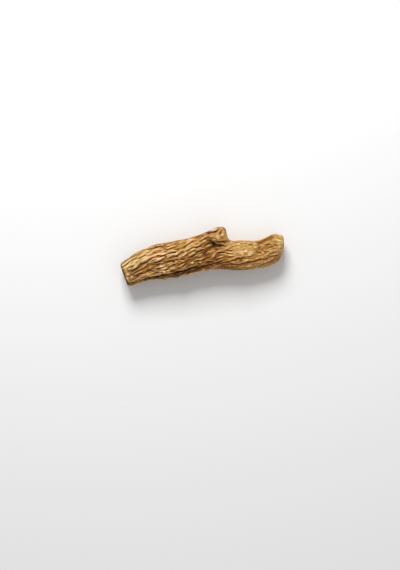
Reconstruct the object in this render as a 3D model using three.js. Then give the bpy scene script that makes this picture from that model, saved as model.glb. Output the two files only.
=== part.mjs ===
// A dried costus root: one short, thick piece of root lying on its side.
// Millimetres, +Z up, +X along the root from its cut end to its broken end.
// The skin is one closed surface: a long oval body, with every rib, crease, hollow and stub
// raised from it or sunk into it by a formula.

import * as THREE from 'three';
import { mergeVertices } from 'three/addons/utils/BufferGeometryUtils.js';

// Body: the two edges seen from above, the crest and the belly, each as [station along X, value].
const CUT_END = -40;
const BROKEN_END = 40.5;
const UPPER_EDGE = [
  [CUT_END, 3.6], [-38, 4.4], [-36, 5.5], [-33, 7], [-30, 8.6], [-25, 9.9], [-20, 10.6], [-15, 10.6],
  [-10, 11], [-5, 11.3], [0, 11.6], [5, 10.9], [10, 9.2], [15, 7.1], [20, 6.4], [24, 5.7], [29, 5],
  [31, 5.6], [33, 6.4], [34.3, 6.9], [35.5, 6.9], [37, 6.3], [38.5, 5.5], [BROKEN_END, 4.7],
];
const LOWER_EDGE = [
  [CUT_END, -8.2], [-36, -7.7], [-33, -6.9], [-30, -6.2], [-26, -5.9], [-23, -6], [-20, -6.4], [-17, -6],
  [-14, -6.4], [-11, -6.9], [-9, -6.3], [-7, -5.6], [-5, -5.7], [-2.5, -5.5], [0, -6.1], [2, -5.4],
  [5, -5.7], [8, -6.1], [12, -6.9], [15, -7.5], [20, -8.4], [24, -9], [28, -8.8], [31, -9], [34, -8.5],
  [36.5, -8], [38, -7.6], [BROKEN_END, -6.9],
];
const CREST = [
  [CUT_END, 11.6], [-33, 13.2], [-22, 14.7], [-10, 15.2], [2, 15.4], [10, 14.8], [20, 13.9], [29, 12.6],
  [35, 12.4], [BROKEN_END, 11.4],
];
const BELLY = [
  [CUT_END, 1.7], [-30, 1.1], [-19, 0.5], [-11, -0.1], [-4, -0.4], [6, -0.4], [12, -0.1], [20, 0.5],
  [31, 1], [BROKEN_END, 2],
];
const SIDE_LOBES = 3;
const SIDE_LOBE = 0.05; // how far each lobe bulges, as a share of the section's height
const SIDE_LOBE_TURN = 0.03; // radians the lobes turn in each millimetre along the root

// Both ends slant across the root, and their rims are worn round.
const CUT_SLANT = -0.22;
const CUT_LEAN = 0.06;
const CUT_RIM = 1.5;
const CUT_DISH = 0.9;
const BROKEN_SLANT = 0.38;
const BROKEN_LEAN = -0.12;
const BROKEN_RIM = 2.3;
const BROKEN_DOME = 0.9;
const SLANT_REACH = 15;

// A side root broke off here and left a stub, with a hollow at its foot.
const STUB = {
  x: 10.2, angle: 0.32, tailward: 4.4, endward: 3, around: 4.3, height: 5.9, lean: 0.3, lift: 0.05,
};
const STUB_STEEP = { tailward: 2.3, endward: 6, blend: 3 };
const STUB_FOOT = [1.6, 2.8]; // the foot of the stub dies away between these shares of its reach
const HOLLOW = { x: 7.2, y: 6, halfLength: 3.4, halfWidth: 1.8, turn: -0.5, depth: 2.4 };

// Creases of the skin seen from above: depth, width, then the points they run through.
const CREASES = [
  [0.8, 0.7, [-40.4, 1.7], [-39.5, 2.2], [-38, 3.3], [-36, 4.3], [-34.4, 4.7]],
  [0.5, 0.6, [-37.5, 0.8], [-36.6, 1.3], [-35.5, 1.6], [-33.4, 1.7]],
  [0.55, 0.6, [-38, 0.2], [-37.2, -0.3], [-36.4, -0.5], [-35.6, -0.3]],
  [1.1, 0.8, [-36.8, -0.5], [-34, 0.1], [-32.2, 0.9], [-30.4, 2.3], [-28.2, 2.9], [-26.2, 3.6], [-24.8, 4.3]],
  [0.6, 0.6, [-31.4, 4.7], [-29.2, 5.6], [-26.8, 6.3]],
  [0.5, 0.6, [-25, 6], [-22.8, 6.7], [-19.4, 6.9]],
  [0.65, 0.6, [-22.8, 9.2], [-20, 9.4], [-19, 9.7]],
  [0.5, 0.6, [-29.4, 0.3], [-26.8, 1.3], [-24.4, 1]],
  [0.65, 0.7, [-35.4, -3.3], [-33.6, -3], [-30.8, -2.5], [-29.6, -2.9]],
  [0.75, 0.7, [-30, -3], [-27.8, -1.9], [-26.6, -1.8], [-24.4, -2.4]],
  [0.6, 0.7, [-36.8, -6.1], [-33.8, -6.4], [-31.8, -6.3]],
  [0.45, 0.6, [-25, -2], [-23, -3.4], [-21.8, -3.6]],
  [0.7, 0.7, [-17.4, -1.9], [-15, -1], [-12, -0.2]],
  [0.6, 0.7, [-24, 1.2], [-21, 2.1], [-18.4, 3.3], [-17, 4]],
  [0.85, 0.7, [-22.2, 5.3], [-20.6, 5.1], [-18.6, 4.6], [-17.4, 5.1]],
  [1, 0.7, [-17.2, 5.1], [-14.6, 5.5], [-12, 5.1]],
  [0.5, 0.6, [-18.6, 8], [-15.6, 7.5], [-14.4, 7.8], [-11, 8.2]],
  [0.7, 0.6, [-14.6, 4], [-12.4, 3.3], [-11.2, 3]],
  [0.7, 0.6, [-13.6, 6.8], [-12, 6.5], [-9.8, 6.9], [-8.6, 6.8]],
  [0.9, 0.7, [-8.4, 7.1], [-5.4, 8.4], [-3.2, 9.5], [-1.8, 9.9]],
  [0.8, 0.7, [-11.8, 4.1], [-9.4, 5], [-7.8, 4.5]],
  [1, 0.7, [-7, 5], [-4.6, 5.8], [-2.4, 6.5], [0.6, 7]],
  [0.55, 0.6, [-6, 3.8], [-3.8, 4.6], [-2.8, 4.9]],
  [0.9, 0.7, [-6.2, 1.8], [-4.2, 2.4], [-2.6, 3.1]],
  [1, 0.7, [-2.8, 3.6], [-0.6, 4.4], [1.6, 4.8]],
  [0.6, 0.6, [-5.8, -0.4], [-2.6, -0.7], [0, -0.6], [1.6, 0.1]],
  [0.5, 0.6, [-10.8, -0.8], [-8.4, -0.5], [-7.4, 0]],
  [0.55, 0.6, [1.2, -2], [3.4, -1.8], [5.6, -2]],
  [0.65, 0.6, [-0.4, 8.9], [2.2, 9.7], [3.8, 10.4]],
  [0.6, 0.6, [-2.6, 10.9], [0.8, 11.5], [3.2, 11.6]],
  [0.6, 0.6, [0.6, 6], [3.4, 6.9], [4.4, 7.4]],
  [0.6, 0.7, [3.6, 9.3], [5.6, 8.4], [7.2, 7.7]],
  [0.6, 0.7, [3.8, 7.4], [5.8, 7], [7.5, 5.5]],
  [0.55, 0.7, [8, 5.3], [10.8, 5.3], [12.4, 4.5], [13.8, 4.4]],
  [0.7, 0.7, [5.6, -0.5], [6.8, 0.7], [8.8, 1.6], [12, 2]],
  [0.9, 0.7, [-2.8, -3.6], [0, -3.3], [4.8, -3.1]],
  [0.9, 0.7, [5.4, -2.7], [8, -3.1], [10.4, -3.2], [13.6, -3]],
  [0.9, 0.7, [12.6, -3], [16, -2.7], [18.8, -2.6], [21, -1.8]],
  [0.45, 0.6, [22.4, -3], [25, -2], [26.6, -1.7]],
  [0.5, 0.6, [12.4, 2.3], [15, 3.4], [16.6, 3.6]],
  [0.5, 0.6, [22.6, 2], [24.8, 1.6], [26.4, 1.9]],
  [0.6, 0.7, [13, -4], [16.4, -4.9], [21, -5], [24.4, -5.2]],
  [0.8, 0.7, [24, -4.6], [27.2, -4.5], [29.6, -4.4]],
  [0.6, 0.7, [29.4, -4.6], [31, -4.6], [32.6, -4.2]],
  [0.45, 0.6, [10, -5.4], [12, -5.7], [14.6, -5.9]],
  [0.6, 0.6, [20.4, -8], [22.6, -7.6]],
  [0.8, 0.7, [25, -8.4], [27.4, -7.7], [30, -7]],
  [0.45, 0.6, [31.2, 2.6], [33.6, 2.5], [35.6, 1.6]],
  [0.5, 0.7, [36.6, 1.7], [38.2, 0.6], [39, 0]],
  [0.55, 0.6, [27, -0.3], [29.2, -1.3], [30.4, -1.6]],
  [0.55, 0.6, [30.4, -0.3], [31.4, -1.1], [33.6, -1]],
  [0.5, 0.6, [33.4, -2.4], [36.6, -2.1], [38.4, -1.9]],
  [0.6, 0.7, [30.4, -6.1], [31.8, -6.7], [34, -5.9]],
];

// A crack along the lower edge, cut straight down.
const CRACK_DEPTH = 1.8;
const CRACK_HALF_WIDTH = 0.7;
const CRACK = [
  [-32, -5.8], [-28.4, -5.3], [-24, -5.4], [-20, -5.2], [-17, -4.9], [-14, -4.8], [-10, -4.5], [-6.4, -3.8],
  [-4, -3.4], [-2, -3.5],
];

// Ridges and soft hollows seen from above: height, half-width, then the points they run through.
const SWELLS = [
  [-0.8, 2.4, [-33, 0.4], [-22, 0.7], [-12, 1.4], [-4, 2.6], [3, 4.6], [7, 6]],
  [0.5, 3.2, [13, 2.2], [21, 2.2], [29, 0.8]],
  [0.9, 1, [-31, -6.6], [-24, -6.6], [-16, -6.5], [-9, -6.3], [0, -5.8], [6, -5.4]],
  [0.45, 0.7, [-37.4, 2.1], [-33.6, 3.1], [-30.6, 4.5], [-27.6, 5.4]],
  [0.5, 0.7, [-36.4, 0.6], [-33, 1.4], [-30.8, 3.1], [-27, 4.4], [-24.4, 5.4]],
  [0.4, 0.7, [-27, 9.2], [-23, 9.6], [-20, 10.1]],
  [0.4, 0.7, [-23, 2.4], [-20, 3.3], [-18, 4.1]],
  [0.45, 0.7, [-17, 4.4], [-13.2, 4.3], [-10.4, 5.5], [-7.4, 5.7]],
  [0.35, 0.8, [-9.2, 8.6], [-5, 9.7], [-3.4, 10.2]],
  [0.4, 0.8, [-7.2, 7], [-4, 7.9], [-2.8, 8.5]],
  [0.45, 0.7, [-6.4, 2.6], [-3.9, 3.5], [-3, 4]],
  [0.4, 0.6, [-3.3, 0.4], [-1, -0.1], [1, 0.6]],
  [0.35, 0.7, [-2.9, 4.6], [-0.4, 5.7], [1.2, 5.7]],
  [0.4, 0.7, [5.4, 0.6], [7.6, 1.8], [10, 3.1]],
  [0.35, 0.8, [10.6, 3.4], [12.4, 3.4], [14, 3.9]],
  [0.35, 0.8, [-30, -3.8], [-27, -3.6], [-24, -4.4], [-20.6, -4.5]],
  [0.35, 0.7, [17, -6.6], [20, -6.8], [23.2, -6.9]],
  [0.35, 0.8, [25, -7.2], [27.4, -6.5], [29.6, -5.9]],
  [0.4, 0.8, [31, -3.6], [33.6, -1.8], [35.6, -1.3]],
  [0.3, 2, [36, 5.4], [40, 4]],
];

// Creases of the flanks and belly, drawn in lanes by a rule.
const LANES = 15;
const LANES_START = 3.02; // radians round the section from its upper edge over the crest
const LANES_END = 6.5;
const LANE_SEED = 20471;
const LANE_INSET = 4; // a lane starts and stops up to this far from the ends
const LANE_POINTS = 4;
const LANE_LENGTH = [7, 20];
const LANE_GAP = [0.6, 3];
const LANE_WANDER = 0.1;
const LANE_DEPTH = [0.5, 1.05];
const LANE_WIDTH = 0.75;

const LIP = 0.22; // a crease throws up this share of its depth as a ridge along its upper side
const LIP_PLACE = 1.1;
const LIP_WIDTH = 0.6;
const STEEP_SIDE = 0.7; // a crease is this much narrower on its upper side
const CREASE_FLOOR = 0.28; // half-width of the rounded bottom of a crease
const CREASE_MERGE = 3; // where creases meet, the deeper one wins by this power
const TAPER = 0.4; // how bluntly a crease or ridge ends
const BELLY_FADE = 1.6; // creases fade over this height above the flat spot

// Mesh: facets round the section and rows along the root.
const AROUND = 96;
const ROWS = { cutFace: 4, cutRim: 3, body: 46, brokenRim: 4, brokenFace: 3 };

const clamp = (v, lo, hi) => Math.min(hi, Math.max(lo, v));
const mix = (a, b, t) => a + (b - a) * t;
const smooth = (from, to, v) => {
  const t = clamp((v - from) / (to - from), 0, 1);
  return t * t * (3 - 2 * t);
};

// A smooth curve through stations [x, value]: cubic pieces with the mean slope at each station.
function curveThrough(stations) {
  const slope = stations.map((p, i) => {
    const before = stations[Math.max(i - 1, 0)];
    const after = stations[Math.min(i + 1, stations.length - 1)];
    return (after[1] - before[1]) / (after[0] - before[0]);
  });
  return (x) => {
    const at = clamp(x, stations[0][0], stations[stations.length - 1][0]);
    let i = 0;
    while (i < stations.length - 2 && at > stations[i + 1][0]) i += 1;
    const [x0, v0] = stations[i];
    const [x1, v1] = stations[i + 1];
    const h = x1 - x0;
    const t = (at - x0) / h;
    const rise = (1 + 2 * t) * (1 - t) ** 2 * v0 + t * t * (3 - 2 * t) * v1;
    return rise + t * (1 - t) ** 2 * h * slope[i] - t * t * (1 - t) * h * slope[i + 1];
  };
}

const upperEdge = curveThrough(UPPER_EDGE);
const lowerEdge = curveThrough(LOWER_EDGE);
const crest = curveThrough(CREST);
const belly = curveThrough(BELLY);

// The oval at a station: its middle, its half-width and half-height, and how its plane is slanted.
function sectionAt(station) {
  const atCut = 1 - smooth(CUT_END, CUT_END + SLANT_REACH, station);
  const atBreak = smooth(BROKEN_END - SLANT_REACH, BROKEN_END, station);
  return {
    y: (upperEdge(station) + lowerEdge(station)) / 2,
    z: (crest(station) + belly(station)) / 2,
    halfWidth: (upperEdge(station) - lowerEdge(station)) / 2,
    halfHeight: (crest(station) - belly(station)) / 2,
    slant: CUT_SLANT * atCut + BROKEN_SLANT * atBreak,
    lean: CUT_LEAN * atCut + BROKEN_LEAN * atBreak,
  };
}

// A point of the plan as [x, angle round the section] on the upper half of the root.
function onUpperHalf([x, y]) {
  const here = sectionAt(x);
  const section = sectionAt(x - here.slant * (y - here.y));
  return [x, Math.acos(clamp((y - section.y) / section.halfWidth, -1, 1))];
}

// A repeatable draw between 0 and 1.
function drawFrom(seed) {
  const modulus = 2147483647;
  let state = seed;
  return () => {
    state = (state * 16807) % modulus;
    return state / modulus;
  };
}

function flankCreases() {
  const draw = drawFrom(LANE_SEED);
  const creases = [];
  for (let lane = 0; lane < LANES; lane += 1) {
    const angle = mix(LANES_START, LANES_END, (lane + 0.5) / LANES);
    let x = CUT_END + LANE_INSET * draw();
    while (x < BROKEN_END - LANE_INSET) {
      const length = mix(LANE_LENGTH[0], LANE_LENGTH[1], draw());
      const end = Math.min(x + length, BROKEN_END);
      const path = [];
      for (let i = 0; i < LANE_POINTS; i += 1) {
        path.push([mix(x, end, i / (LANE_POINTS - 1)), angle + LANE_WANDER * (2 * draw() - 1)]);
      }
      creases.push({ path, size: mix(LANE_DEPTH[0], LANE_DEPTH[1], draw()), width: LANE_WIDTH });
      x = end + mix(LANE_GAP[0], LANE_GAP[1], draw());
    }
  }
  return creases;
}

const fromPlan = ([size, width, ...points]) => ({ path: points.map(onUpperHalf), size, width });
const creases = [...CREASES.map(fromPlan), ...flankCreases()];
const swells = SWELLS.map(fromPlan);
const crack = CRACK.map(onUpperHalf);

const turnBetween = (a, b) => {
  const turn = (a - b) % (2 * Math.PI);
  if (turn > Math.PI) return turn - 2 * Math.PI;
  if (turn < -Math.PI) return turn + 2 * Math.PI;
  return turn;
};

// How far a point of the skin is from a path, on which side, and how much the path has tapered there.
function nearestOn(path, x, angle, radius) {
  let best = { distance: Infinity, side: 1, along: 0 };
  for (let i = 0; i < path.length - 1; i += 1) {
    const runX = path[i + 1][0] - path[i][0];
    const runS = radius * (path[i + 1][1] - path[i][1]);
    const toX = x - path[i][0];
    const toS = radius * turnBetween(angle, path[i][1]);
    const t = clamp((toX * runX + toS * runS) / (runX * runX + runS * runS), 0, 1);
    const distance = Math.hypot(toX - t * runX, toS - t * runS);
    if (distance < best.distance) {
      const side = runX * toS - runS * toX < 0 ? 1 : -1;
      best = { distance, side, along: (i + t) / (path.length - 1) };
    }
  }
  const taper = (4 * best.along * (1 - best.along)) ** TAPER;
  return { distance: best.distance, side: best.side, taper };
}

// The relief of the skin in millimetres, outwards.
function relief(x, angle, radius) {
  let sunk = 0;
  let raised = 0;
  for (const { path, size, width } of creases) {
    const { distance, side, taper } = nearestOn(path, x, angle, radius);
    const reach = side > 0 ? width * STEEP_SIDE : width;
    const fall = Math.exp(-(Math.hypot(distance, CREASE_FLOOR) - CREASE_FLOOR) / reach);
    sunk += (size * taper * fall) ** CREASE_MERGE;
    if (side > 0) raised += LIP * size * taper * Math.exp(-(((distance - LIP_PLACE) / LIP_WIDTH) ** 2));
  }
  for (const { path, size, width } of swells) {
    const { distance, taper } = nearestOn(path, x, angle, radius);
    raised += size * taper * Math.exp(-((distance / width) ** 2));
  }
  return raised - sunk ** (1 / CREASE_MERGE);
}

// How deep the crack is, straight down.
function crackDepth(x, angle, radius) {
  const { distance, taper } = nearestOn(crack, x, angle, radius);
  return CRACK_DEPTH * taper * Math.exp(-((distance / CRACK_HALF_WIDTH) ** 4));
}

// One row of the skin: its station, and its size as a share of the full section there.
function rowAt(row) {
  const rimEnd = ROWS.cutFace + ROWS.cutRim;
  const bodyEnd = rimEnd + ROWS.body;
  const brokenRimEnd = bodyEnd + ROWS.brokenRim;
  const cutShare = 1 - CUT_RIM / sectionAt(CUT_END).halfWidth;
  const brokenShare = 1 - BROKEN_RIM / sectionAt(BROKEN_END).halfWidth;
  if (row <= ROWS.cutFace) {
    const out = row / ROWS.cutFace;
    return { station: CUT_END + CUT_DISH * (1 - out * out), share: cutShare * out, skin: 0 };
  }
  if (row <= rimEnd) {
    const turn = ((row - ROWS.cutFace) / ROWS.cutRim) * (Math.PI / 2);
    const share = mix(cutShare, 1, Math.sin(turn));
    return { station: CUT_END + CUT_RIM * (1 - Math.cos(turn)), share, skin: Math.sin(turn) };
  }
  if (row <= bodyEnd) {
    const along = (row - rimEnd) / ROWS.body;
    return { station: mix(CUT_END + CUT_RIM, BROKEN_END - BROKEN_RIM, along), share: 1, skin: 1 };
  }
  if (row <= brokenRimEnd) {
    const turn = (1 - (row - bodyEnd) / ROWS.brokenRim) * (Math.PI / 2);
    const share = mix(brokenShare, 1, Math.sin(turn));
    return { station: BROKEN_END - BROKEN_RIM * (1 - Math.cos(turn)), share, skin: Math.sin(turn) };
  }
  const out = 1 - (row - brokenRimEnd) / ROWS.brokenFace;
  return { station: BROKEN_END + BROKEN_DOME * (1 - out * out), share: brokenShare * out, skin: 0 };
}

// How far the stub stands out, steep on its broken side and drawn out on the other.
function stubHeight(x, around) {
  const along = x - STUB.x;
  const reach = along < 0 ? STUB.tailward : STUB.endward;
  const steep = mix(
    STUB_STEEP.tailward,
    STUB_STEEP.endward,
    smooth(-STUB_STEEP.blend, STUB_STEEP.blend, along),
  );
  const away = Math.hypot(along / reach, around / STUB.around);
  return (STUB.height / (1 + away ** steep)) * (1 - smooth(STUB_FOOT[0], STUB_FOOT[1], away));
}

// How deep the hollow at the foot of the stub is under a point of the plan.
function hollowDepth(x, y) {
  const alongX = Math.cos(HOLLOW.turn);
  const alongY = Math.sin(HOLLOW.turn);
  const along = (x - HOLLOW.x) * alongX + (y - HOLLOW.y) * alongY;
  const across = (y - HOLLOW.y) * alongX - (x - HOLLOW.x) * alongY;
  return HOLLOW.depth * Math.exp(-((along / HOLLOW.halfLength) ** 2) - (across / HOLLOW.halfWidth) ** 2);
}

// A point of the finished skin from its row and its angle round the section.
function skinPoint({ station, share, skin }, angle) {
  const section = sectionAt(station);
  const lobe = 1 + SIDE_LOBE * Math.cos(SIDE_LOBES * angle + SIDE_LOBE_TURN * station);
  const across = Math.cos(angle) * section.halfWidth;
  const up = Math.sin(angle) * section.halfHeight * lobe;
  let x = station + section.slant * across * share + section.lean * up * share;
  let y = section.y + across * share;
  let z = section.z + up * share;

  const radius = Math.hypot(Math.sin(angle) * section.halfWidth, Math.cos(angle) * section.halfHeight);
  const outY = (Math.cos(angle) * section.halfHeight) / radius;
  const outZ = (Math.sin(angle) * section.halfWidth) / radius;
  const keep = skin * smooth(0, BELLY_FADE, z);
  const height = relief(x, angle, radius) * keep;
  y += outY * height;
  z += outZ * height - crackDepth(x, angle, radius) * keep;

  const stub = stubHeight(x, radius * turnBetween(angle, STUB.angle));
  x += STUB.lean * stub;
  y += stub;
  z += STUB.lift * stub;
  if (z > section.z) z -= hollowDepth(x, y);
  return new THREE.Vector3(x, y, Math.max(z, 0));
}

function rootSkin() {
  const rows = ROWS.cutFace + ROWS.cutRim + ROWS.body + ROWS.brokenRim + ROWS.brokenFace;
  const ball = new THREE.SphereGeometry(1, AROUND, rows);
  const position = ball.getAttribute('position');
  for (let row = 0; row <= rows; row += 1) {
    const place = rowAt(row);
    for (let step = 0; step <= AROUND; step += 1) {
      const point = skinPoint(place, (1 - (step % AROUND) / AROUND) * 2 * Math.PI);
      position.setXYZ(row * (AROUND + 1) + step, point.x, point.y, point.z);
    }
  }
  ball.deleteAttribute('normal');
  ball.deleteAttribute('uv');
  const skin = mergeVertices(ball, 1e-4);
  skin.computeBoundingBox();
  const middle = skin.boundingBox.getCenter(new THREE.Vector3());
  skin.translate(-middle.x, -middle.y, -skin.boundingBox.min.z);
  skin.computeVertexNormals();
  return skin;
}

const bark = new THREE.MeshStandardMaterial({ color: 0xa87a42, roughness: 0.85, metalness: 0 });

const root = new THREE.Mesh(rootSkin(), bark);
root.name = 'costus_root';

const group = new THREE.Group();
group.add(root);

export default group;
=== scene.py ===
"""A short thick piece of dried costus root, lying on a pale floor and seen from straight above."""

import math

import bmesh
import bpy
import numpy as np
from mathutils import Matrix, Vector, noise


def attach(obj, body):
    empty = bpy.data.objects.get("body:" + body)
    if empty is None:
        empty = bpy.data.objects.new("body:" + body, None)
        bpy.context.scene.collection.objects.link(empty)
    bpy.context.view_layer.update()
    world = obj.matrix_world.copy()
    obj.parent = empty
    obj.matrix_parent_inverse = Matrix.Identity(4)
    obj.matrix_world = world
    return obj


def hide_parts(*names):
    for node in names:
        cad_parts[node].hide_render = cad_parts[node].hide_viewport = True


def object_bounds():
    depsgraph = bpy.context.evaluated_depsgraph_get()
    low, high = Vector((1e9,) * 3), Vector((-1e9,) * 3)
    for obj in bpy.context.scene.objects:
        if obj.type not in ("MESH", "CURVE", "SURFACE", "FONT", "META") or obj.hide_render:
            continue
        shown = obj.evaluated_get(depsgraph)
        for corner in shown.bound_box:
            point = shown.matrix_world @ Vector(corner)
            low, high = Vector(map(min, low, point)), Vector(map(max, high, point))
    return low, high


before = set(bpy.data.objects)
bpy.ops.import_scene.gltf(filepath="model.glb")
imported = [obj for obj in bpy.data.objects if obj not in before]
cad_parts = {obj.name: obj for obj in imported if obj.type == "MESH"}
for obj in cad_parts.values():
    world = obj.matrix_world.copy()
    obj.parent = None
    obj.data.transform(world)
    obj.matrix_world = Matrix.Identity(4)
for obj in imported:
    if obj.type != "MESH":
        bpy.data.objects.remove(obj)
cad_low, cad_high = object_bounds()

MM = 0.001  # the root is worked out in millimetres
WELD = 1e-7  # edges closer than this are welded
MIDDLE = (0.536, 2.864, 0)  # of the root's plan, in the numbers below
PRESS = 0.5 * MM  # what would stick out of the CAD box is pressed into its last bit
MEAN_RADIUS = 8.0  # of the root, to turn a length round it into an angle
TURN = 2 * math.pi
TINY = 1e-9
DRAW_FACTOR = 16807  # for the lanes' draws
DRAW_RANGE = 2**31 - 1

# The root's form: its edges seen from above, its crest and belly, as (station, value).
CUT_END = -40
BROKEN_END = 40.5
UPPER_EDGE = (
    (CUT_END, 3.6), (-38, 4.4), (-36, 5.5), (-33, 7), (-30, 8.6), (-25, 9.9), (-20, 10.6),
    (-15, 10.6), (-10, 11), (-5, 11.4), (0, 11.9), (5, 11.1), (10, 9.2), (15, 7.1), (20, 6.4),
    (24, 5.7), (29, 5), (31, 5.6), (33, 6.4), (34.3, 7), (35.5, 7.1), (37, 6.6), (38.5, 5.9),
    (BROKEN_END, 5),
)
LOWER_EDGE = (
    (CUT_END, -8.2), (-36, -7.7), (-33, -6.9), (-30, -6.2), (-26, -5.9), (-23, -6), (-20, -6.4),
    (-17, -6), (-14, -6.4), (-11, -6.9), (-9, -6.3), (-7, -5.6), (-5, -5.7), (-2.5, -5.5),
    (0, -6.1), (2, -5.4), (5, -5.7), (8, -6.1), (12, -6.9), (15, -7.5), (20, -8.2), (24, -8.6),
    (28, -8.4), (31, -8.7), (34, -8.3), (36.5, -7.9), (38, -7.6), (BROKEN_END, -6.9),
)
CREST = (
    (CUT_END, 11.6), (-33, 13.2), (-22, 14.7), (-10, 15.2), (2, 15.4), (10, 14.8), (20, 13.9),
    (29, 12.6), (35, 12.4), (BROKEN_END, 11.4),
)
BELLY = (
    (CUT_END, 1.7), (-30, 1.1), (-19, 0.5), (-11, -0.1), (-4, -0.4), (6, -0.4), (12, -0.1),
    (20, 0.5), (31, 1), (BROKEN_END, 2),
)
SIDE_LOBES = 3  # the section bulges a little in so many places
SIDE_LOBE = 0.05
SIDE_LOBE_TURN = 0.03  # how far they wind round it, in radians a millimetre

# The end faces: slant from side to side, lean from top to bottom, worn rim, dish or dome.
CUT_SLANT = -0.22
CUT_LEAN = 0.06
CUT_RIM = 1.5
CUT_DISH = 0.9
BROKEN_SLANT = 0.42
BROKEN_LEAN = -0.12
BROKEN_RIM = 1.9
BROKEN_DOME = 0.5
SLANT_REACH = 15

# The stub of the side root, steep on its broken side, and the hollow at its foot.
STUB = {"x": 10.2, "angle": 0.32, "tailward": 4.4, "endward": 3, "around": 4.3,
        "height": 5.7, "lean": 0.3, "lift": 0.05}
STUB_STEEP = (2.3, 6)  # how steep it is tailward, and endward
STUB_BLEND = (-3, 3)
STUB_FOOT = (1.6, 2.8)
STUB_BARK = (1.2, 3.6)  # the stub's bark is lumpy, without grain, where it stands out this far
HOLLOW = {"x": 7.2, "y": 6, "half_length": 3.4, "half_width": 1.8, "turn": -0.5, "depth": 2.4}

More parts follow.
